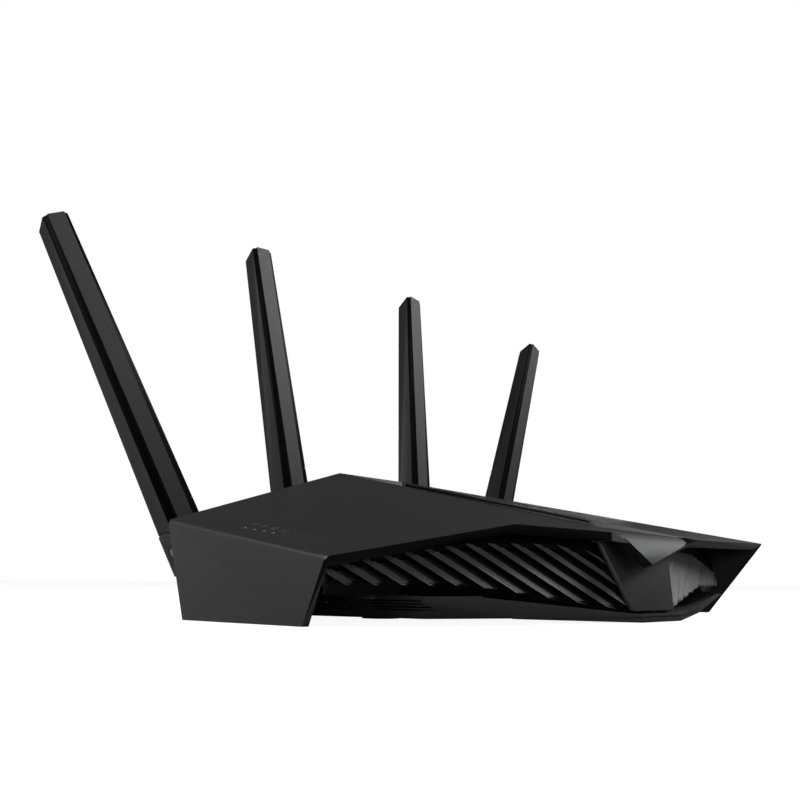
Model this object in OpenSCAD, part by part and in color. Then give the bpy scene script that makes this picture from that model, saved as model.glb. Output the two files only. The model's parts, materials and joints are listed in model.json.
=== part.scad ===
// Four-antenna desktop wireless router, built as an assembly of separate pieces.
// X is to the right seen from the front, Y towards the rear, Z up from the desk.

/* [Cover] */
// Thickness of the folded top cover
cover_t = 2.8; // [2.4:0.1:3]
// Depth of the black groove in the step along the top
groove_d = 3; // [2.4:0.2:3.2]
// Radius of the holes for the four status lights
light_r = 0.9; // [0.6:0.1:1.2]

/* [Base] */
// Height of the rubber feet, and so of the base plate above the desk
foot_h = 2; // [1.6:0.2:2.4]
// Height of the tub's rim at the sides
rim_z = 9; // [8.6:0.2:9.4]
// Wall thickness of the tub, the rear panel and the hood
wall = 2.2; // [2:0.1:2.4]

/* [Louvres] */
// Distance from one slanted slat to the next, along the bank
slat_pitch = 9.7; // [9:0.1:10.4]
// Share of the distance taken by a slat's sloping face
slat_share = 0.6; // [0.5:0.05:0.7]
// Slope of the slats from level, in degrees
slat_slope = 28.5; // [26:0.5:31]

/* [Antennas] */
// Length from the fold pin to the tip
antenna_l = 133.5; // [120:0.5:140]
// Width of a blade seen from the front, at its shoulder and at its tip
blade_w = [15.6, 10.4];
// Thickness of a blade, front to back, at its shoulder and at its tip
blade_t = [11.6, 8.2];
// Width of the raised bar down the front of each blade
bar_w = 6.9; // [6:0.1:7.2]
// Fan angle of each antenna at rest, positive leans to the right
fan = [-29.3, -7.6, 5, 23.4];
// Backward lean of each antenna at rest
lean = [1, 5.5, 7, 3.5];
// Radius of the fold pin
pin_r = 2; // [1.8:0.1:2.2]
// Radial running clearance of pins and stems
run_gap = 0.06; // [0.03:0.01:0.09]

/* [Ports] */
// Width and height of a network socket's opening
jack_open = [11.8, 8.4];
// Outer width, depth and height of a network socket
jack_box = [15.8, 16, 13];
// Bore radius of the power inlet
dc_r = 2.9; // [2.7:0.1:3.1]

/* [Hidden] */
$fn = 48;

// The body is drawn about its own centre line; this puts the whole object's
// bottom centre at the origin.
origin_shift = [6.22, 64.11, 0];

// Corners of the cover's outer surface
rear_left = [-137.5, -43, 32.6];
front_left = [-137.5, -118, 20];
brow = [-71, -134, 31.4];
beak_left = [-22.6, -143, 30.3];
beak_tip = [-17, -152, 19.5];
beak_right = [32.4, -143, 29.8];
front_right = [137.5, -125.5, 31.9];
rear_right = [137.5, -43, 32.6];
peak = [-28, -10, 59.3];
step_low_rear = [-22.5, -41.5, 52.3];
step_low_front = [-9.9, -125.4, 33.6];
step_high_rear = [-22.3, -41.5, 53.9];
step_high_front = [-9.9, -123.9, 36];
fin_left_front = [-125.5, -96, 0];
fin_left_rear = [-123, -33, 0];
fin_right_front = [125.5, -103, 0];
fin_right_rear = [123, -33, 0];

// Nose and louvre banks
nose_half = [14.4, 24.5];
nose_y = [-143, -136];
nose_z = [3.7, 27.5];
bank_turn = 16.2;
bank_lean = 9.2;
bank_l = 117.5;
bank_bend = 68;

// Rear panel, board and hinges
panel_y = -10;
panel_half = 107;
board_z = 6;
board_t = 1.6;
hinge_x = [-95.2, -38.3, 38.3, 95.2];
hinge_y = 4;
hinge_z = 27;
stem_r = 5;
disc_r = 9.4;
disc_t = 3;
disc_gap = 0.3;
ear_in = 3.85;
ear_t = 3.8;
heel_r = 5;
shoulder_z = 9;
jack_z = board_z + board_t;
jack_x = [-1, 16.5, 56.5, 73.5];
wan_x = -18.5;
usb_x = -40;
dc_x = -71;
power_x = -57;
light_x = 33;
reset_x = -83;
wps_x = 43;
button_z = 13;
button_r = 3;

function above(p, q, r, x, y) = let (n = cross(q - p, r - p))
    p.z - (n.x * (x - p.x) + n.y * (y - p.y)) / n.z;
function left_z(x, y) = above(rear_left, front_left, brow, x, y);
function between(p, q, t) = p + (q - p) * t;

module placed() {
    translate(origin_shift) children();
}

module mirrored(side) {
    if (side < 0) mirror([1, 0, 0]) children();
    else children();
}

// A thin closed sheet: outer points, the same points moved inward, and the
// loop of point numbers around its open edge.
module sheet(outer, inner, faces, loop) {
    n = len(outer);
    rim = [for (i = [0:len(loop) - 1]) let (a = loop[i], b = loop[(i + 1) % len(loop)])
        [[a, b, b + n], [a, b + n, a + n]]];
    polyhedron(points = concat(outer, inner),
        faces = concat(faces, [for (f = faces) [f[2] + n, f[1] + n, f[0] + n]],
            [for (pair = rim) pair[0]], [for (pair = rim) pair[1]]));
}

// ---------- Cover ----------

cover_outer = [rear_left, front_left, brow, beak_left, beak_tip, beak_right, front_right,
    rear_right, peak, step_low_rear, step_low_front, step_high_rear, step_high_front,
    fin_left_front, fin_left_rear, fin_right_front, fin_right_rear];
cover_inset = [[1, 0, -1], [1, 0.8, -1], [0, 1.1, -1], [0, 1.2, -1], [0, 1.2, -0.4],
    [0, 1.2, -1], [-1, 0.9, -1], [-1, 0, -1], [0, 0, -1], [1.64, 0.25, -1], [1.64, 0.25, -1],
    [1.64, 0.25, -1.2], [1.64, 0.25, -1.2], [0.95, 0, 0], [0.95, 0, 0], [-0.95, 0, 0],
    [-0.95, 0, 0]];
cover_faces = [[0, 2, 1], [0, 8, 2], [8, 9, 2], [9, 10, 2], [10, 3, 2], [10, 12, 5],
    [10, 5, 3], [3, 5, 4], [11, 12, 10], [11, 10, 9], [8, 11, 9], [8, 7, 11], [11, 7, 6],
    [11, 6, 12], [12, 6, 5], [0, 1, 13], [0, 13, 14], [7, 15, 6], [7, 16, 15]];
cover_loop = [14, 13, 1, 2, 3, 4, 5, 6, 15, 16, 7, 8, 0];
status_points = [for (i = [0:3]) [-128.9 + 0.3 * i, -71.8 - 4.2 * i]];

module top_cover() {
    color("#2b2b2c") placed() difference() {
        sheet(cover_outer, [for (i = [0:16]) cover_outer[i] + cover_t * cover_inset[i]],
            cover_faces, cover_loop);
        groove_bar(-1, groove_d, 0);
        for (p = status_points) translate([p.x, p.y, 18]) cylinder(r = light_r, h = 20);
    }
}

// A bar along the step's groove, from one depth to another behind the step's
// face, smaller all round by the clearance.
module groove_bar(from, to, clearance) {
    low = 0.12 + clearance;
    high = 0.5 + clearance;
    into = [0.989, 0.148, -0.13];
    rear_low = between(step_low_rear, step_low_front, 0.02) + [0, 0, low];
    front_low = between(step_low_rear, step_low_front, 0.985) + [0, 0, low];
    rear_high = between(step_high_rear, step_high_front, 0.02) - [0, 0, high];
    front_high = between(step_high_rear, step_high_front, 0.985) - [0, 0, high];
    ring = [rear_low, front_low, front_high, rear_high];
    polyhedron(points = concat([for (p = ring) p + from * into], [for (p = ring) p + to * into]),
        faces = [[3, 2, 1], [3, 1, 0], [4, 5, 6], [4, 6, 7], [0, 1, 5], [0, 5, 4], [1, 2, 6],
            [1, 6, 5], [2, 3, 7], [2, 7, 6], [3, 0, 4], [3, 4, 7]]);
}

module accent_strip() {
    color("#101011") placed() groove_bar(1.3, groove_d - 0.1, 0.08);
}

// ---------- Rear hood and rear panel ----------

hood_left = between(rear_left, peak, (rear_left.x + panel_half) / (rear_left.x - peak.x));
hood_right = between(rear_right, peak, (rear_right.x - panel_half) / (rear_right.x - peak.x));
panel_left_z = 35;
panel_right_z = 33.5;

module hood_wing(edge, corner) {
    low = [0, 0.4, -0.4];
    near_peak = between(peak, corner, 0.03) + low;
    top = edge.x < 0 ? [edge + low, corner, near_peak]
        : [corner, edge + low, near_peak];
    sheet(top, [for (p = top) p - [0, 0, wall]], [[0, 1, 2]], [2, 1, 0]);
}

module rear_hood() {
    color("#262627") placed() {
        hood_wing(hood_left, [-panel_half, panel_y, panel_left_z]);
        hood_wing(hood_right, [panel_half, panel_y, panel_right_z]);
    }
}

module panel_outline() {
    gap = wall + 0.6;
    polygon([[-panel_half, foot_h + wall + 0.3], [-panel_half, panel_left_z - gap],
        [peak.x, peak.z - gap - 1], [panel_half, panel_right_z - gap],
        [panel_half, foot_h + wall + 0.3]]);
}

module panel_hole(x, z, size) {
    translate([x - size[0] / 2, panel_y - wall - 1, z - size[1] / 2])
        cube([size[0], wall + 2, size[1]]);
}

module panel_bore(x, z, r) {
    translate([x, panel_y + 1, z]) rotate([90, 0, 0]) cylinder(r = r, h = wall + 2);
}

module rear_panel() {
    jack_mid = jack_z + jack_box[2] / 2;
    color("#202021") placed() difference() {
        translate([0, panel_y, 0]) rotate([90, 0, 0]) linear_extrude(wall) panel_outline();
        for (x = concat(jack_x, [wan_x]))
            panel_hole(x, jack_mid, [jack_box[0] + 0.4, jack_box[2] + 0.4]);
        panel_hole(usb_x, jack_z + 3.5, [14.6, 7.2]);
        for (x = hinge_x) panel_bore(x, hinge_z, stem_r + run_gap);
        panel_bore(dc_x, jack_z + 5.5, 4.9);
        for (x = [power_x, light_x, wps_x]) panel_bore(x, button_z, button_r + 0.25);
        panel_bore(reset_x, button_z, 1.6);
    }
}

// ---------- Lower housing ----------

base_outline = [[14, -146], [60, -130.5], [91, -114], [99, -63], [101, panel_y]];
rim_outline = [[15, -146.6], [60, -134], [100, -121.6], [106, -60], [106, panel_y]];
function both_sides(points) = concat(points,
    [for (i = [len(points) - 1:-1:0]) [-points[i].x, points[i].y]]);

module tub_solid(inset, lift) {
    hull() {
        translate([0, 0, foot_h + lift]) linear_extrude(0.02)
            offset(delta = -inset) polygon(both_sides(base_outline));
        translate([0, 0, rim_z - 0.02 + lift / 10]) linear_extrude(0.02)
            offset(delta = -inset) polygon(both_sides(rim_outline));
    }
}

// Everything above the sloping front rim, from the nose up to the side rim
module front_rim_cut() {
    translate([0, -100, 0]) rotate([90, 0, 0]) linear_extrude(60)
        polygon([[-80, rim_z - 0.3], [-15, 2.8], [15, 2.8], [80, rim_z - 0.3], [80, 20], [-80, 20]]);
}

// Fine slots in the tub's side walls, in groups of rows
module vent_slots(side) {
    rows = 4;
    mirrored(side) for (group = [[-119, 21], [-91, 26], [-58, 22]]) for (row = [0:rows - 1])
        translate([90, group[0], foot_h + wall + 0.3 + 0.95 * row]) cube([20, group[1], 0.5]);
}

module side_wall(side, front_z, edge_z, rear_z) {
    x = side > 0 ? panel_half - wall - 0.4 : -panel_half + 0.4;
    translate([x, 0, 0]) rotate([90, 0, 90]) linear_extrude(wall)
        polygon([[-106, rim_z - 1], [-106, front_z], [-33, edge_z], [panel_y - wall - 0.3, rear_z],
            [panel_y - wall - 0.3, rim_z - 1]]);
}

module screw_boss(x, y, top) {
    translate([x, y, foot_h]) difference() {
        cylinder(r = 3.6, h = top - foot_h);
        translate([0, 0, -1]) cylinder(r = 1.4, h = top);
        translate([0, 0, -1]) cylinder(r = 2.9, h = 2.4);
    }
}

boss_points = [[-86, -70], [86, -70], [-86, -30], [86, -30]];
board_posts = [[-70, -92], [70, -92], [-70, -34], [70, -34]];

module lower_housing() {
    color("#1f1f20") placed() {
        difference() {
            tub_solid(0, 0);
            tub_solid(wall, wall);
            front_rim_cut();
            for (side = [-1, 1]) vent_slots(side);
            for (p = boss_points) translate([p.x, p.y, foot_h - 1]) cylinder(r = 3, h = 5);
            translate([-110, panel_y - wall - 0.3, foot_h + wall]) cube([220, 10, 20]);
        }
        side_wall(-1, 24.9, 36.3, 33.2);
        side_wall(1, 32.4, 33.4, 31.2);
        for (p = boss_points) screw_boss(p.x, p.y, 22);
        for (p = board_posts) translate([p.x, p.y, foot_h + 1]) difference() {
            cylinder(r = 3, h = board_z - foot_h - 1);
            cylinder(r = 1.1, h = 10);
        }
    }
}

// Four round feet and a skid along the front edge that thins out sideways
module rubber_feet() {
    color("#0c0c0c") placed() {
        for (x = [-70, 70]) translate([x, -24, 0]) cylinder(r = 7, h = foot_h);
        for (x = [-56, 56]) translate([x, -62, 0]) cylinder(r = 7, h = foot_h);
        for (side = [-1, 1]) mirrored(side) hull() {
            translate([-1, -145.6, 0]) cube([15, 6, foot_h]);
            translate([60, -129.8, foot_h - 0.3]) cube([1, 5, 0.3]);
        }
    }
}

module housing_screws() {
    color("#8a8a8c") placed() for (p = boss_points) translate([p.x, p.y, foot_h + 0.2])
        difference() {
            union() {
                cylinder(r = 2.7, h = 1.2);
                cylinder(r = 1.3, h = 12);
            }
            translate([0, 0, -1]) cylinder(r = 1, h = 1.7, $fn = 6);
        }
}

// ---------- Front fascia ----------

// Moves a drawing made in bank coordinates (x along the bank from the nose,
// z up, y outward) to the right or left bank.
module on_bank(side) {
    mirrored(-side) translate([-nose_half[0] - 0.5, nose_y[0] + 0.6, 0])
        rotate([0, 0, 180 - bank_turn]) rotate([bank_lean, 0, 0]) children();
}

bank_outline = [[0, 3.7], [bank_bend, 12], [bank_l, 12], [bank_l, 18.6], [90, 23],
    [66, 26.4], [32, 27], [16, 25.2], [9, 22.5]];

// Top edge of the blank strip above each window, close under the cover
left_blank = [[117, 20.4], [66, 29.3], [50, 30.6], [13, 28.6]];
right_blank = [[117, 18.6], [114, 31], [100, 32.5], [50, 30], [13, 28.1]];

module bank_face(depth, edge) {
    rotate([90, 0, 0]) linear_extrude(depth) offset(delta = -edge) polygon(bank_outline);
}

// Slanted slats like shingles: each face slopes outward to a proud lower edge,
// with an open gap under it.
module slats() {
    pitch = slat_pitch * sin(slat_slope);
    face = pitch * slat_share;
    intersection() {
        translate([0, 0.2, 0]) bank_face(3, 0.5);
        for (i = [-4:12]) translate([slat_pitch * i - 5, 0, 2]) rotate([0, -slat_slope, 0])
            rotate([90, 0, 90]) linear_extrude(70)
                polygon([[0, 0], [-1.7, face], [-2.5, face], [-1.1, 0]]);
    }
}

module blank_strip(top) {
    translate([0, -1, 0]) rotate([90, 0, 0]) linear_extrude(1.4) polygon(concat(top,
        [[13, 24.2], [16, 24.6], [32, 26.4], [66, 25.8], [90, 22.4], [117, 18.1]]));
}

// The band under the slats, its lower edge tucked back
module under_band() {
    top = [[1, 5], [13.8, 6.6], [47.4, 10.3], [72.5, 13.1], [bank_l - 1, 12.9]];
    low = [[1, 4], [13.8, 5], [47.4, 7.3], [72.5, 10.2], [bank_l - 1, 10.4]];
    sheet(concat([for (p = top) [p.x, -0.2, p.y]], [for (p = low) [p.x, -3.4, p.y]]),
        concat([for (p = top) [p.x, -2.5, p.y]], [for (p = low) [p.x, -4.8, p.y]]),
        [for (i = [0:3]) each [[i + 1, i, i + 5], [i + 1, i + 5, i + 6]]],
        [0, 1, 2, 3, 4, 9, 8, 7, 6, 5]);
}

module louvre_bank(side, blank) {
    color("#2a2a2b") placed() on_bank(side) {
        difference() {
            translate([0, -1.3, 0]) bank_face(1.3, 0);
            bank_face(4, 1.6);
        }
        blank_strip(blank);
        slats();
        under_band();
    }
}

module louvre_left() { louvre_bank(-1, left_blank); }
module louvre_right() { louvre_bank(1, right_blank); }

module nose_panel() {
    outer = [[-nose_half[0], nose_y[0], nose_z[0]], [nose_half[0], nose_y[0], nose_z[0]],
        [nose_half[1], nose_y[1], nose_z[1]], [-nose_half[1], nose_y[1], nose_z[1]]];
    inner = [for (p = outer) [p.x, p.y + wall, p.z]];
    color("#2c2c2d") placed()
        sheet(outer, inner, [[0, 2, 1], [0, 3, 2]], [0, 1, 2, 3]);
}

module light_guide(side) {
    color("#3c3c40") placed() on_bank(side) translate([0, -3.6, 0]) bank_face(1.6, 2.4);
}

module light_guide_left() { light_guide(-1); }
module light_guide_right() { light_guide(1); }

module led_strips() {
    color("#e8e8e0") placed() for (side = [-1, 1]) on_bank(side) {
        translate([22, -8.6, 13]) cube([70, 1, 5]);
        for (i = [0:5]) translate([26 + 12 * i, -7.7, 14]) cube([3, 1.4, 3]);
    }
}

// ---------- Electronics ----------

module main_board() {
    color("#1d4a2c") placed() difference() {
        translate([-82, -106, board_z]) cube([164, 92, board_t]);
        for (p = board_posts) translate([p.x, p.y, board_z - 1])
            cylinder(r = 1.6, h = board_t + 2);
    }
}

module board_screws() {
    color("#c0c0c4") placed() for (p = board_posts) translate([p.x, p.y, 0]) {
        translate([0, 0, board_z + board_t]) cylinder(r = 2.6, h = 1.4);
        translate([0, 0, board_z - 1.7]) cylinder(r = 1, h = board_t + 2.2);
    }
}

module shield_can(corner, size) {
    translate([corner.x, corner.y, board_z + board_t]) difference() {
        cube(size);
        translate([0.4, 0.4, -1]) cube([size.x - 0.8, size.y - 0.8, size.z + 0.6]);
    }
}

module soc_shield() { color("#b8babd") placed() shield_can([-20, -80], [36, 34, 3]); }

module radio_shields() {
    color("#b0b2b5") placed() {
        shield_can([-64, -84], [34, 30, 3]);
        shield_can([28, -84], [38, 30, 3]);
    }
}

pad_z = board_z + board_t + 3;

module thermal_pad() {
    color("#8f9aa8") placed() translate([-16, -76, pad_z]) cube([28, 26, 1]);
}

module heatsink() {
    fin_count = 12;
    base = [104, 34, 2.4];
    color("#a9acb0") placed() translate([-58, -80, pad_z + 1]) {
        cube(base);
        for (i = [0:fin_count - 1])
            translate([i * (base.x - 1.6) / (fin_count - 1), 0, base.z]) cube([1.6, base.y, 8]);
    }
}

module board_components() {
    top = board_z + board_t;
    color("#3a3430") placed() {
        for (i = [0:4]) translate([-72 + 11 * i, -98, top]) cylinder(r = 3.2, h = 9);
        for (i = [0:2]) translate([6 + 16 * i, -100, top]) cube([9, 9, 4]);
        for (i = [0:3]) translate([-2 + 17.5 * i, -43, top]) cube([14, 9, 5]);
        translate([-40, -42, top]) cube([12, 8, 1.2]);
        translate([-60, -42, top]) cube([14, 10, 1.2]);
    }
}

module network_jack(x) {
    translate([x - jack_box[0] / 2, panel_y - jack_box[1], jack_z]) difference() {
        cube(jack_box);
        translate([(jack_box[0] - jack_open[0]) / 2, 4, 2]) {
            cube([jack_open[0], jack_box[1], jack_open[1]]);
            translate([jack_open[0] / 2 - 3, 0, jack_open[1] - 0.1])
                cube([6, jack_box[1], 1.6]);
        }
    }
}

module wan_port() { color("#2f5fa8") placed() network_jack(wan_x); }
module lan_port_1() { color("#c9a227") placed() network_jack(jack_x[0]); }
module lan_port_2() { color("#c9a227") placed() network_jack(jack_x[1]); }
module lan_port_3() { color("#c9a227") placed() network_jack(jack_x[2]); }
module lan_port_4() { color("#c9a227") placed() network_jack(jack_x[3]); }

module usb_port() {
    color("#c4c6c9") placed() translate([usb_x - 7, panel_y - 15, jack_z]) {
        difference() {
            cube([14, 15, 7]);
            translate([0.7, 1.5, 0.7]) cube([12.6, 15, 5.6]);
        }
        translate([1.6, 1.4, 5.05]) cube([10.8, 11, 1.3]);
    }
}

module dc_jack() {
    length = 13;
    color("#161616") placed() translate([dc_x, panel_y - length, jack_z + 5.5])
        rotate([-90, 0, 0]) {
            difference() {
                cylinder(r = 4.6, h = length);
                translate([0, 0, 2]) cylinder(r = dc_r, h = length);
            }
            translate([0, 0, 1]) cylinder(r = 1, h = length - 3);
            translate([-4.5, 4, 0]) cube([9, 1.4, 10]);
        }
}

// ---------- Buttons and their switches ----------

module round_button(x, r, head) {
    translate([x, panel_y + head, button_z]) rotate([90, 0, 0]) {
        cylinder(r = r, h = wall + head + 1.4);
        translate([0, 0, wall + head + 0.4]) cylinder(r = r + 1, h = 1);
    }
}

module switch_box(x, travel, r) {
    back = panel_y - wall - 1.4 - travel - 0.1;
    post = button_z - board_z - board_t;
    translate([x - 3.5, back - 7.5, board_z + board_t]) cube([7, 6.5, post + 3.5]);
    translate([x, back, button_z]) rotate([90, 0, 0]) cylinder(r = r, h = 2);
}

module power_button() { color("#19191a") placed() round_button(power_x, button_r, 2.6); }
module light_button() { color("#19191a") placed() round_button(light_x, button_r, 1.6); }
module wps_button() { color("#19191a") placed() round_button(wps_x, button_r, 1.6); }
module reset_button() { color("#8c1c1c") placed() round_button(reset_x, 1.35, -0.8); }
module power_switch() { color("#5a5a5c") placed() switch_box(power_x, 2, 1.4); }
module light_switch() { color("#5a5a5c") placed() switch_box(light_x, 1, 1.4); }
module wps_switch() { color("#5a5a5c") placed() switch_box(wps_x, 1, 1.4); }

// The reset switch stands outside the board's edge, on a foot from the base plate.
module reset_switch() {
    back = panel_y - wall - 2.5;
    foot = foot_h + wall;
    color("#5a5a5c") placed() {
        translate([reset_x - 5.5, back - 7.5, foot]) cube([6, 6.5, button_z + 3.5 - foot]);
        translate([reset_x, back, button_z]) rotate([90, 0, 0]) cylinder(r = 1.2, h = 2);
    }
}

// ---------- Status lights ----------

module status_leds() {
    color("#f2f2e6") placed() for (p = status_points)
        translate([p.x - 1.2, p.y - 0.9, left_z(p.x, p.y) - cover_t - 5.4]) cube([2.4, 1.8, 1.2]);
}

module status_light_pipes() {
    color("#d8dade") placed() for (p = status_points)
        translate([p.x, p.y, left_z(p.x, p.y) - cover_t - 4]) {
            cylinder(r = light_r - 0.1, h = cover_t + 3.6);
            cylinder(r = 1.5, h = 2.2);
        }
}

// ---------- Antennas ----------

module at_hinge(i, leaned) {
    placed() translate([hinge_x[i], hinge_y, hinge_z]) rotate([0, fan[i], 0])
        rotate([leaned ? -lean[i] : 0, 0, 0]) children();
}

module across(r, x0, x1) {
    translate([x0, 0, 0]) rotate([0, 90, 0]) cylinder(r = r, h = x1 - x0);
}

module ear() {
    deep = blade_t[0] / 2 - 0.1;
    back = panel_y + disc_gap - hinge_y;
    intersection() {
        across(shoulder_z - 0.35, ear_in, ear_in + ear_t);
        translate([ear_in, -deep, 0]) cube([ear_t, 2 * deep, 10]);
    }
    translate([ear_in, -deep, -10]) cube([ear_t, 2 * deep, 10.1]);
    translate([ear_in, back + 1, -6]) cube([ear_t, -back - 4, 12]);
}

module swivel(i) {
    back = panel_y + disc_gap - hinge_y;
    color("#232324") at_hinge(i, false) difference() {
        union() {
            translate([0, back - 7, 0]) rotate([-90, 0, 0]) cylinder(r = stem_r, h = 7.2);
            translate([0, back - 7, 0]) rotate([-90, 0, 0]) cylinder(r = stem_r + 1.4, h = 1.6);
            translate([0, back, 0]) rotate([-90, 0, 0]) cylinder(r = disc_r, h = disc_t);
            for (side = [-1, 1]) mirrored(side) ear();
        }
        across(pin_r, -20, 20);
        translate([0, back - 8, 0]) rotate([-90, 0, 0]) cylinder(r = 1.6, h = 12);
    }
}

module fold_pin(i) {
    end = ear_in + ear_t;
    color("#8d8f92") at_hinge(i, false) across(pin_r, -end, end);
}

// Outline of a blade across its length, behind the raised bar
module blade_outline(rear_w, front_w, t, step) {
    front = step - t / 2;
    polygon([[1 - rear_w / 2, t / 2], [rear_w / 2 - 1, t / 2], [rear_w / 2, t / 2 - 1],
        [front_w / 2, front + 0.8], [bar_w / 2, front], [-bar_w / 2, front],
        [-front_w / 2, front + 0.8], [-rear_w / 2, t / 2 - 1]]);
}

module antenna(i) {
    core = antenna_l - 20;
    color("#29292a") at_hinge(i, true) difference() {
        union() {
            difference() {
                union() {
                    hull() {
                        translate([0, 0, 5]) linear_extrude(0.1)
                            blade_outline(blade_w[0], blade_w[0] - 0.8, blade_t[0], 0.8);
                        translate([0, 0, antenna_l]) linear_extrude(1)
                            blade_outline(blade_w[1] - 0.8, blade_w[1], blade_t[1], 0.4);
                    }
                    hull() {
                        translate([-bar_w / 2, -blade_t[0] / 2, 5]) cube([bar_w, 3, 0.1]);
                        translate([-bar_w / 2, -blade_t[1] / 2, antenna_l])
                            cube([bar_w, 2, 1]);
                    }
                }
                across(shoulder_z, -20, 20);
            }
            across(heel_r, 0.35 - ear_in, ear_in - 0.35);
            translate([0.35 - ear_in, 0.6 - heel_r, 0])
                cube([2 * ear_in - 0.7, 2 * heel_r - 1.2, shoulder_z + 0.1]);
        }
        across(pin_r + run_gap, -20, 20);
        translate([-bar_w / 2, -blade_t[1] / 2, antenna_l]) rotate([-32.9, 5.5, 0])
            translate([-30, -30, 0]) cube([60, 60, 30]);
        hull() {
            translate([-1.6, -3.6, 14]) cube([3.2, 7.2, 0.1]);
            translate([-1.6, -2, core]) cube([3.2, 4, 0.1]);
        }
    }
}

module radiator(i) {
    color("#b87a3a") at_hinge(i, true) translate([-0.4, -1.7, 14])
        cube([0.8, 3.4, antenna_l - 40]);
}

module coax_leads() {
    run_z = 18.6;
    color("#3c3c3e") placed() for (x = hinge_x) {
        outer = abs(x) > 60;
        drop_x = outer ? 66 * sign(x) : x;
        drop_y = outer ? -38.4 : -31;
        translate([x, -12, hinge_z]) rotate([90, 0, 0]) cylinder(r = 0.9, h = -12 - drop_y);
        translate([x, drop_y, run_z]) cylinder(r = 0.9, h = hinge_z - run_z);
        translate([min(x, drop_x), drop_y, run_z]) across(0.9, 0, abs(x - drop_x) + 0.1);
        translate([drop_x, drop_y, board_z + board_t])
            cylinder(r = 0.9, h = run_z - board_z - board_t);
    }
}

module swivel_1() { swivel(0); }
module swivel_2() { swivel(1); }
module swivel_3() { swivel(2); }
module swivel_4() { swivel(3); }
module fold_pin_1() { fold_pin(0); }
module fold_pin_2() { fold_pin(1); }
module fold_pin_3() { fold_pin(2); }
module fold_pin_4() { fold_pin(3); }
module antenna_1() { antenna(0); }
module antenna_2() { antenna(1); }
module antenna_3() { antenna(2); }
module antenna_4() { antenna(3); }
module radiator_1() { radiator(0); }
module radiator_2() { radiator(1); }
module radiator_3() { radiator(2); }
module radiator_4() { radiator(3); }

top_cover();
accent_strip();
rear_hood();
lower_housing();
rear_panel();
louvre_left();
louvre_right();
nose_panel();
light_guide_left();
light_guide_right();
led_strips();
main_board();
board_screws();
soc_shield();
radio_shields();
thermal_pad();
heatsink();
board_components();
wan_port();
lan_port_1();
lan_port_2();
lan_port_3();
lan_port_4();
usb_port();
dc_jack();
power_button();
power_switch();
wps_button();
wps_switch();
reset_button();
reset_switch();
light_button();
light_switch();
status_leds();
status_light_pipes();
coax_leads();
rubber_feet();
housing_screws();
swivel_1();
swivel_2();
swivel_3();
swivel_4();
fold_pin_1();
fold_pin_2();
fold_pin_3();
fold_pin_4();
antenna_1();
antenna_2();
antenna_3();
antenna_4();
radiator_1();
radiator_2();
radiator_3();
radiator_4();
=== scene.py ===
"""The looks of a four-antenna wireless router, built on its CAD frame."""
import json
import math

import bmesh
import bpy
from mathutils import Euler, Matrix, Vector


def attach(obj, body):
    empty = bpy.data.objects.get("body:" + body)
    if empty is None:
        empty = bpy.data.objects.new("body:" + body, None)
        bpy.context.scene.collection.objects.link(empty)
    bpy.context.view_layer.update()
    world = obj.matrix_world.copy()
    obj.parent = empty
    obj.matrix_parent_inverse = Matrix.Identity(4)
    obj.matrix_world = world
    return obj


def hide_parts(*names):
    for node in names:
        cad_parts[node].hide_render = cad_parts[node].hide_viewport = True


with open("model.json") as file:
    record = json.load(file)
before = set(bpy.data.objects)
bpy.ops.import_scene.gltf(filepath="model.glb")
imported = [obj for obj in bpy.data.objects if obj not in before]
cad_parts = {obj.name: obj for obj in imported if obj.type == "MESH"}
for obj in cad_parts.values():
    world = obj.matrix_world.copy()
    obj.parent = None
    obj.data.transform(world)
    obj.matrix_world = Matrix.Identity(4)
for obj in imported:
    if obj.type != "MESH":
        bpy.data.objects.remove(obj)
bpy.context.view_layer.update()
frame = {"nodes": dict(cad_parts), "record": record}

BEHAVIOUR = frame["record"]["behaviour"]
BODY_OF = {node: body for body, nodes in BEHAVIOUR["bodies"].items() for node in nodes}
SLOT_OF = {part["node"]: part["material_slot"] for part in frame["record"]["subparts"]}
JOINT_OF = {joint["child"]: joint for joint in BEHAVIOUR["joints"]}

MM = 0.001
# The drawing's origin in the row frame. Places below are in the drawing's
# millimetres unless they say otherwise.
SHIFT = Vector((6.22, 64.11, 0.0))


def row(x, y, z):
    """A place in the drawing's millimetres, as a point of the row frame in metres."""
    return (Vector((x, y, z)) + SHIFT) * MM


def drawn(point):
    """A point of the row frame in metres, in the drawing's millimetres."""
    return point / MM - SHIFT


# Corners of the cover's outer surface
REAR_LEFT, FRONT_LEFT, BROW = (-137.5, -43, 32.6), (-137.5, -118, 20), (-71, -134, 31.4)
REAR_RIGHT, FRONT_RIGHT = (137.5, -43, 32.6), (137.5, -125.5, 31.9)
BEAK_LEFT, BEAK_RIGHT = (-22.6, -143, 30.3), (32.4, -143, 29.8)
# The part of the cover that holds its step, and where its front edge starts
STEP_X, STEP_Y = (-25, -8), (-127, -40)
FRONT_EDGE_Y = -104
# The louvre banks: foot of the left one beside the nose, its sweep and its lean
BANK_FOOT, BANK_SWEEP, BANK_LEAN = (-14.9, -142.4, 0), 16.2, 9.2
# The rear panel, the foot of the sockets in it and where they stand across it
PANEL_Y, JACK_Z = -10, 7.6
NETWORK_X, USB_X = (-18.5, -1, 16.5, 56.5, 73.5), -40

# The floor's tone, glow, half width and drop below the desk plane, and the
# strength of the light all round
FLOOR_TONE, FLOOR_GLOW, FLOOR_HALF, FLOOR_DROP = 0.35, 0.93, 6, 0.0002
AMBIENT = 0.05
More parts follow.
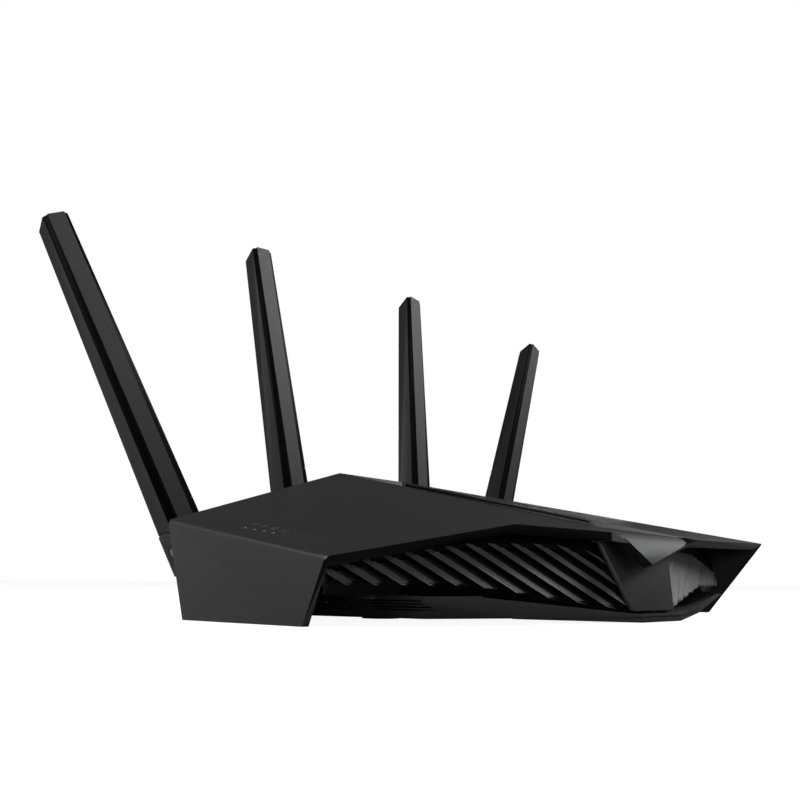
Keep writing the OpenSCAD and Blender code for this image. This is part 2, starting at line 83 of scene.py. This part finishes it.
# Each light as name, place, aim, size and power, in metres and watts
LIGHTS = [
    ("key", (0.74, -0.7, 0.75), (0, -0.08, 0.03), (0.45, 0.45), 6),
    ("front", (-0.5, -1.2, 0.25), (0, -0.1, 0.01), (0.7, 0.3), 4),
    ("left", (-1.2, 0.1, 0.35), (0, 0, 0.06), (0.4, 0.9), 23),
    ("rear", (1.2, 0.93, 0.2), (0, -0.1, 0.04), (0.6, 0.2), 8),
    ("side", (1.2, -0.12, 0.62), (0, -0.1, 0.03), (0.5, 0.5), 2.2),
]


# ---------- Camera ----------

CAM_PLACE = (-328.5, -320.8, 13.5)
CAM_YAW, CAM_PITCH, CAM_ROLL = -47.461, 10.26, 0.408

cam_data = bpy.data.cameras.new("camera")
cam_data.lens = 45.0
cam_data.sensor_width = 36.0
cam_data.clip_start = 0.01
camera = bpy.data.objects.new("camera", cam_data)
bpy.context.collection.objects.link(camera)
camera.matrix_world = (
    Matrix.Translation(row(*CAM_PLACE))
    @ Euler((math.radians(90 + CAM_PITCH), 0, math.radians(CAM_YAW))).to_matrix().to_4x4()
    @ Matrix.Rotation(math.radians(CAM_ROLL), 4, "Z")
)
bpy.context.scene.camera = camera


# ---------- Materials ----------

# Most values of a noise texture lie between these two.
NOISE_LOW, NOISE_HIGH = 0.3, 0.7
NOISE_ROUGHNESS = 0.55
# Moulded plastic: size of its flow marks and of its gloss patches, as texture
# scales, and how far the gloss strays
FLOW_SCALE, PATCH_SCALE, GLOSS_SPREAD = 9.0, 700.0, 0.025
# Metal: scale and stretch of its brushed lines, and their depth in metres
BRUSH_SCALE, BRUSH_STRETCH, BRUSH_DEPTH = 160.0, (1, 1, 30), 0.00003


def new_material(name):
    mat = bpy.data.materials.new(name)
    mat.use_nodes = True
    tree = mat.node_tree
    tree.nodes.clear()
    out = tree.nodes.new("ShaderNodeOutputMaterial")
    bsdf = tree.nodes.new("ShaderNodeBsdfPrincipled")
    tree.links.new(bsdf.outputs[0], out.inputs[0])
    coords = tree.nodes.new("ShaderNodeTexCoord")
    return mat, tree, bsdf, coords


def noise(tree, coords, scale, detail=3.0, stretch=None):
    node = tree.nodes.new("ShaderNodeTexNoise")
    node.inputs["Scale"].default_value = scale
    node.inputs["Detail"].default_value = detail
    node.inputs["Roughness"].default_value = NOISE_ROUGHNESS
    source = coords.outputs["Object"]
    if stretch:
        mapping = tree.nodes.new("ShaderNodeMapping")
        mapping.inputs["Scale"].default_value = stretch
        tree.links.new(source, mapping.inputs["Vector"])
        source = mapping.outputs[0]
    tree.links.new(source, node.inputs["Vector"])
    return node.outputs[0]


def ranged(tree, value, low, high):
    node = tree.nodes.new("ShaderNodeMapRange")
    node.inputs["From Min"].default_value = NOISE_LOW
    node.inputs["From Max"].default_value = NOISE_HIGH
    node.inputs["To Min"].default_value = low
    node.inputs["To Max"].default_value = high
    tree.links.new(value, node.inputs["Value"])
    return node.outputs[0]


def tinted(tree, value, low, high):
    """The colour low where a noise value is low, high where it is high."""
    node = tree.nodes.new("ShaderNodeValToRGB")
    ends = zip(node.color_ramp.elements, (NOISE_LOW, NOISE_HIGH), (low, high))
    for end, place, colour in ends:
        end.position = place
        end.color = (*colour, 1.0)
    tree.links.new(value, node.inputs[0])
    return node.outputs[0]


def bump(tree, height, strength, distance):
    node = tree.nodes.new("ShaderNodeBump")
    node.inputs["Strength"].default_value = strength
    node.inputs["Distance"].default_value = distance
    tree.links.new(height, node.inputs["Height"])
    return node.outputs[0]


def scaled(colour, k):
    return tuple(min(1.0, c * k) for c in colour)


def moulded(name, colour, rough, grain=0.45, strength=0.25, vary=0.05, spec=0.5):
    """Moulded plastic: a fine spark texture, faint flow marks and uneven gloss.
    grain is the size of the texture in millimetres."""
    mat, tree, bsdf, coords = new_material(name)
    flow = noise(tree, coords, FLOW_SCALE)
    fine = noise(tree, coords, 1 / (grain * MM), 2.0)
    patch = noise(tree, coords, PATCH_SCALE, 2.0)
    tint = tinted(tree, flow, scaled(colour, 1 - vary), scaled(colour, 1 + vary))
    gloss = ranged(tree, patch, rough - GLOSS_SPREAD, rough + GLOSS_SPREAD)
    tree.links.new(tint, bsdf.inputs["Base Color"])
    tree.links.new(gloss, bsdf.inputs["Roughness"])
    tree.links.new(bump(tree, fine, strength, grain * MM / 6), bsdf.inputs["Normal"])
    bsdf.inputs["Specular IOR Level"].default_value = spec
    return mat


def metal(name, colour, rough):
    """Metal with faint lines from rolling or brushing."""
    mat, tree, bsdf, coords = new_material(name)
    lines = noise(tree, coords, BRUSH_SCALE, 4.0, BRUSH_STRETCH)
    tint = tinted(tree, lines, scaled(colour, 0.86), scaled(colour, 1.06))
    tree.links.new(tint, bsdf.inputs["Base Color"])
    tree.links.new(ranged(tree, lines, rough - 0.06, rough + 0.08), bsdf.inputs["Roughness"])
    tree.links.new(bump(tree, lines, 0.12, BRUSH_DEPTH), bsdf.inputs["Normal"])
    bsdf.inputs["Metallic"].default_value = 1.0
    return mat


# Name, colour, roughness and, where they aren't the usual ones, the size and
# strength of the texture, the strength of the flow marks and the sheen
MOULDED = [
    ("cover_plastic", (0.0165, 0.0165, 0.0175), 0.5, 0.42, 0.3),
    ("housing_plastic", (0.011, 0.011, 0.012), 0.55, 0.5, 0.3),
    ("fascia_plastic", (0.02, 0.02, 0.021), 0.45, 0.35, 0.2),
    ("antenna_plastic", (0.0085, 0.0085, 0.0092), 0.46, 0.38, 0.25),
    ("trim_black", (0.004, 0.004, 0.0045), 0.22, 0.8, 0.05),
    ("smoked_diffuser", (0.006, 0.006, 0.007), 0.3, 1.2, 0.1),
    ("led_white", (0.7, 0.7, 0.65), 0.3, 0.6, 0.05, 0.04),
    ("circuit_board", (0.01, 0.07, 0.03), 0.3, 1.4, 0.15),
    ("thermal_pad", (0.3, 0.34, 0.4), 0.8, 0.6, 0.4),
    ("component_dark", (0.03, 0.028, 0.026), 0.5, 0.4, 0.2),
    ("jack_blue", (0.02, 0.08, 0.32), 0.42, 0.5, 0.15),
    ("jack_yellow", (0.62, 0.37, 0.015), 0.42, 0.5, 0.15),
    ("button_black", (0.012, 0.012, 0.013), 0.42, 0.4, 0.2),
    ("button_red", (0.28, 0.012, 0.012), 0.4, 0.4, 0.2),
    ("light_pipe_clear", (0.3, 0.31, 0.32), 0.18, 0.8, 0.05, 0.05),
    ("coax_grey", (0.05, 0.05, 0.052), 0.5, 0.5, 0.15),
    ("foot_rubber", (0.008, 0.008, 0.008), 0.8, 0.7, 0.5),
    ("print_grey", (0.045, 0.045, 0.047), 0.5, 0.6, 0.1, 0.06),
    ("louvre_satin", (0.08, 0.08, 0.082), 0.5, 0.4, 0.15),
    # painted shade: a near-black for faces in recesses, under edges and turned from the light
    ("recess_black", (0.0025, 0.0025, 0.0028), 0.34, 0.5, 0.1, 0.05, 0.06),
]
METALS = [
    ("screw_steel", (0.42, 0.42, 0.44), 0.34),
    ("shield_steel", (0.58, 0.59, 0.61), 0.3),
    ("sink_aluminium", (0.6, 0.61, 0.63), 0.36),
    ("radiator_copper", (0.7, 0.36, 0.18), 0.3),
    ("contact_gold", (0.83, 0.6, 0.25), 0.25),
]
MATERIALS = {look[0]: moulded(*look) for look in MOULDED}
MATERIALS.update({look[0]: metal(*look) for look in METALS})


# ---------- Pieces ----------

def dress(obj, slot, body):
    obj.data.materials.clear()
    obj.data.materials.append(MATERIALS[slot])
    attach(obj, body)
    return obj


def link(name, bm):
    """An object made of bm, shaded smooth except across its sharper edges."""
    mesh = bpy.data.meshes.new(name)
    bm.normal_update()
    bm.to_mesh(mesh)
    bm.free()
    for poly in mesh.polygons:
        poly.use_smooth = True
    mesh.set_sharp_from_angle(angle=math.radians(32))
    obj = bpy.data.objects.new(name, mesh)
    bpy.context.collection.objects.link(obj)
    return obj


def bevel(bm, edges, radius, segments):
    bmesh.ops.bevel(bm, geom=edges, offset=radius * MM, offset_type="OFFSET",
                    segments=segments, profile=0.5, affect="EDGES", clamp_overlap=True)


def rounded(node, radius, segments=2, corner=28, folds=()):
    """A copy of a CAD node that stands for it, with each edge rounded that turns
    by more than corner degrees. folds are edges with a larger radius of their own."""
    bm = bmesh.new()
    bm.from_mesh(frame["nodes"][node].data)
    bmesh.ops.remove_doubles(bm, verts=bm.verts, dist=0.002 * MM)
    bmesh.ops.dissolve_limit(bm, angle_limit=math.radians(0.6), verts=bm.verts, edges=bm.edges)
    for start, end, fold_radius in folds:
        along = [edge for edge in bm.edges if runs_between(edge, row(*start), row(*end))]
        bevel(bm, along, fold_radius, 6)
    sharp = [edge for edge in bm.edges if len(edge.link_faces) == 2
             and edge.calc_face_angle(0) > math.radians(corner)]
    bevel(bm, sharp, radius, segments)
    obj = link("skin_" + node, bm)
    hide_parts(node)
    return dress(obj, SLOT_OF[node], BODY_OF[node])


def runs_between(edge, start, end):
    """Whether an edge joins two points, to a fifth of a millimetre."""
    def near(point):
        return min((vert.co - point).length for vert in edge.verts) < 0.2 * MM
    return near(start) and near(end)


def paint_shade(obj, is_shaded):
    """Paints shade: the near-black shade material goes on each face whose place and facing pass the
    test.
    """
    obj.data.materials.append(MATERIALS["recess_black"])
    for poly in obj.data.polygons:
        if is_shaded(drawn(poly.center), poly.normal):
            poly.material_index = 1


for node, radius in (("rear_hood", 0.5), ("rear_panel", 0.4), ("lower_housing", 0.3),
                     ("nose_panel", 0.6), ("rubber_feet", 0.5)):
    rounded(node, radius)


# The cover: its beak has a soft fold, its fins have crisp ones, and the step
# along it and the underside of its front edge are painted black as shade.
COVER_FOLDS = [
    (BEAK_LEFT, BEAK_RIGHT, 4.2),
    (REAR_LEFT, FRONT_LEFT, 1.1),
    (REAR_RIGHT, FRONT_RIGHT, 1.1),
]


def shade_on_cover(place, facing):
    under_edge = place.y < FRONT_EDGE_Y and facing.z < -0.03
    at_step = STEP_X[0] < place.x < STEP_X[1] and STEP_Y[0] < place.y < STEP_Y[1]
    return under_edge or (at_step and (facing.x < -0.3 or facing.y < -0.5))


paint_shade(rounded("top_cover", 0.5, 3, 12, COVER_FOLDS), shade_on_cover)
# Painted shade: the accent strip takes the shade black, for the shadow in the step's groove.
rounded("accent_strip", 0.15).data.materials[0] = MATERIALS["recess_black"]


# The louvres: satin slats, with painted shade in black on the sunk sheet they
# stand in, on their undersides and on the backs.
TO_LEFT_BANK = (Matrix.Translation(BANK_FOOT)
                @ Matrix.Rotation(math.radians(180 - BANK_SWEEP), 4, "Z")
                @ Matrix.Rotation(math.radians(BANK_LEAN), 4, "X")).inverted()
MIRRORED = Matrix.Scale(-1, 4, (1, 0, 0))


def louvres(node, to_bank):
    """to_bank leads to the bank's own frame, where y points out of its face."""
    def in_shade(place, facing):
        outward = (to_bank.to_3x3() @ facing).y
        sunk = outward > 0.93 and (to_bank @ place).y < -0.8
        return sunk or facing.z < -0.35 or outward < -0.3

    bank = rounded(node, 0.18)
    bank.data.materials[0] = MATERIALS["louvre_satin"]
    paint_shade(bank, in_shade)


louvres("louvre_left", TO_LEFT_BANK)
louvres("louvre_right", TO_LEFT_BANK @ MIRRORED)


# The antennas: beside the raised bar down the front, a blade's flanks and the
# walls of the bar are painted black as shade.
SHOULDER_Z, FRONT_Y, FLANKS_FROM_X, WALLS_WITHIN_X = 9.5, -1.5, 3.5, 3.6


def blade_frame(fold):
    """To a blade's own frame at rest: x across it, y back, z along it. The low
    end of its fold joint is where the blade stands upright."""
    across, back = -Vector(fold["axis"]), Vector((0, 1, 0))
    fanned = Matrix((across, back, across.cross(back))).transposed().to_4x4()
    leaning = Matrix.Rotation(math.radians(fold["range_deg"][0]), 4, "X")
    hinge = Matrix.Translation(drawn(Vector(fold["pos_m"])))
    return (hinge @ fanned @ leaning).inverted()


def antenna(number):
    node = f"antenna_{number}"
    to_blade = blade_frame(JOINT_OF[BODY_OF[node]])

    def in_shade(place, facing):
        at, turned = to_blade @ place, to_blade.to_3x3() @ facing
        flank = turned.y < -0.5 and abs(at.x) > FLANKS_FROM_X
        wall = abs(turned.x) > 0.5 and abs(at.x) < WALLS_WITHIN_X
        on_front = at.z > SHOULDER_Z and at.y < FRONT_Y
        return on_front and (flank or wall) and turned.z < 0.45

    paint_shade(rounded(node, 0.3, 2, 9), in_shade)
    rounded(f"swivel_{number}", 0.4)


for number in range(1, 5):
    antenna(number)


# The six faces of a prism, by its corners: bottom four, then top four
PRISM = ((3, 2, 1, 0), (4, 5, 6, 7), (0, 1, 5, 4), (1, 2, 6, 5), (2, 3, 7, 6), (3, 0, 4, 7))


def prisms(name, rows, slot):
    """One piece of the housing made of several prisms, each given by its corners."""
    bm = bmesh.new()
    for corners in rows:
        verts = [bm.verts.new(row(*corner)) for corner in corners]
        for face in PRISM:
            bm.faces.new([verts[k] for k in face])
    bmesh.ops.recalc_face_normals(bm, faces=bm.faces)
    return dress(link(name, bm), slot, "housing")


def strip(x, rear, front, wide, thick):
    """Corners of a flat strip, from one place (y, z) to another."""
    low = [(x + side * wide / 2, y, z) for (y, z), sides in ((rear, (-1, 1)), (front, (1, -1)))
           for side in sides]
    return low + [(a, y, z + thick) for a, y, z in low]


# The spring contacts slant down towards the mouth of a network socket, and lie
# flat in the USB socket.
CONTACTS, CONTACT_PITCH = 8, 1.02
CONTACT_REAR, CONTACT_FRONT = (PANEL_Y - 11.6, JACK_Z + 5.4), (PANEL_Y - 4, JACK_Z + 2.25)
USB_REAR, USB_FRONT = (PANEL_Y - 12, JACK_Z + 4.9), (PANEL_Y - 3.6, JACK_Z + 4.9)
USB_OFFSETS = (-3.5, -1.1, 1.1, 3.5)

prisms("network_contacts",
       [strip(x + CONTACT_PITCH * (k - (CONTACTS - 1) / 2), CONTACT_REAR, CONTACT_FRONT, 0.5, 0.3)
        for x in NETWORK_X for k in range(CONTACTS)], "contact_gold")
prisms("usb_contacts",
       [strip(USB_X + offset, USB_REAR, USB_FRONT, 1.1, 0.14) for offset in USB_OFFSETS],
       "contact_gold")


# Small signs beside the four lights, rear to front: a power mark, waves, a globe
# and a network. Strokes are in a sign's own plane: lines by their ends, arcs by
# centre, radius, first and last angle.
SIGNS = [
    [("arc", 0, 0, 1.15, 120, 420), ("line", 0, 0.2, 0, 1.5)],
    [("arc", 0, -1, 0.8, 45, 135), ("arc", 0, -1, 1.6, 45, 135), ("arc", 0, -1, 2.4, 45, 135)],
    [("arc", 0, 0, 1.25, 0, 360), ("line", -1.2, 0, 1.2, 0), ("line", 0, -1.2, 0, 1.2)],
    [("line", -1.2, -1, 1.2, -1), ("line", -1.2, -1, -1.2, 0), ("line", 1.2, -1, 1.2, 0),
     ("line", 0, -1, 0, 1.3)],
]
FIRST_SIGN, SIGN_STEP = Vector((-123.1, -70.6)), Vector((-0.2, -4.8))
STROKE_HALF, STROKE_SUNK, STROKE_PROUD = 0.16, -0.02, 0.035
ARC_STEPS = 24


def stroke_points(kind, *numbers):
    if kind == "line":
        return [Vector(numbers[:2]), Vector(numbers[2:])]
    x, y, radius, first, last = numbers
    turns = [math.radians(first + (last - first) * k / ARC_STEPS) for k in range(ARC_STEPS + 1)]
    return [Vector((x + radius * math.cos(turn), y + radius * math.sin(turn))) for turn in turns]


def on_left_facet(x, y):
    """Height of the cover's left facet at a place."""
    rear, front, brow = map(Vector, (REAR_LEFT, FRONT_LEFT, BROW))
    n = (front - rear).cross(brow - rear)
    return rear.z - (n.x * (x - rear.x) + n.y * (y - rear.y)) / n.z


def sign_prisms(centre, strokes):
    """A sign's strokes, each as a chain of prisms that just rise from the cover."""
    rows = []
    for stroke in strokes:
        points = [centre + point for point in stroke_points(*stroke)]
        for a, b in zip(points, points[1:]):
            side = Vector((a.y - b.y, b.x - a.x)).normalized() * STROKE_HALF
            outline = (a - side, b - side, b + side, a + side)
            rows.append([(x, y, on_left_facet(x, y) + up)
                         for up in (STROKE_SUNK, STROKE_PROUD) for x, y in outline])
    return rows


prisms("status_signs",
       [prism for k, strokes in enumerate(SIGNS)
        for prism in sign_prisms(FIRST_SIGN + k * SIGN_STEP, strokes)], "print_grey")

# The CAD nodes that no piece stands for keep their shapes.
for name, obj in frame["nodes"].items():
    if not obj.hide_render:
        obj.data.materials.clear()
        obj.data.materials.append(MATERIALS[SLOT_OF[name]])


# ---------- Stage and light ----------

def seen_white(tree, other, white):
    """A shader that is white for the camera, and other for the light that it gives."""
    path = tree.nodes.new("ShaderNodeLightPath")
    mix = tree.nodes.new("ShaderNodeMixShader")
    tree.links.new(path.outputs["Is Camera Ray"], mix.inputs[0])
    tree.links.new(other, mix.inputs[1])
    tree.links.new(white, mix.inputs[2])
    return mix.outputs[0]


def floor_material():
    """Pale matt card that glows a little for the camera, so that it ends white."""
    mat, tree, bsdf, coords = new_material("floor")
    bsdf.inputs["Roughness"].default_value = 0.9
    bsdf.inputs["Specular IOR Level"].default_value = 0.1
    tint = tinted(tree, noise(tree, coords, 3.0), (FLOOR_TONE,) * 3, (FLOOR_TONE + 0.02,) * 3)
    tree.links.new(tint, bsdf.inputs["Base Color"])
    glow = tree.nodes.new("ShaderNodeEmission")
    glow.inputs["Strength"].default_value = FLOOR_GLOW
    added = tree.nodes.new("ShaderNodeAddShader")
    tree.links.new(glow.outputs[0], added.inputs[0])
    tree.links.new(bsdf.outputs[0], added.inputs[1])
    out = next(node for node in tree.nodes if node.type == "OUTPUT_MATERIAL")
    tree.links.new(seen_white(tree, bsdf.outputs[0], added.outputs[0]), out.inputs[0])
    return mat


floor_mesh = bpy.data.meshes.new("floor")
floor_corners = [(x * FLOOR_HALF, y * FLOOR_HALF, 0) for x, y in ((-1, -1), (1, -1), (1, 1), (-1, 1))]
floor_mesh.from_pydata(floor_corners, [], [(0, 1, 2, 3)])
floor_mesh.materials.append(floor_material())
floor = bpy.data.objects.new("floor", floor_mesh)
floor.location.z = -FLOOR_DROP
bpy.context.collection.objects.link(floor)


def area_light(name, place, aim, size, power):
    data = bpy.data.lights.new(name, "AREA")
    data.shape = "RECTANGLE"
    data.size, data.size_y = size
    data.energy = power
    obj = bpy.data.objects.new(name, data)
    bpy.context.collection.objects.link(obj)
    obj.location = place
    direction = Vector(aim) - Vector(place)
    obj.rotation_euler = direction.to_track_quat("-Z", "Y").to_euler()


for light in LIGHTS:
    area_light(*light)

world = bpy.data.worlds.new("world")
world.use_nodes = True
world_tree = world.node_tree
world_tree.nodes.clear()
world_out = world_tree.nodes.new("ShaderNodeOutputWorld")
backs = []
for strength in (AMBIENT, 1.0):
    back = world_tree.nodes.new("ShaderNodeBackground")
    back.inputs["Color"].default_value = (1, 1, 1, 1)
    back.inputs["Strength"].default_value = strength
    backs.append(back.outputs[0])
world_tree.links.new(seen_white(world_tree, *backs), world_out.inputs[0])
bpy.context.scene.world = world
bpy.context.scene.view_settings.view_transform = "Standard"
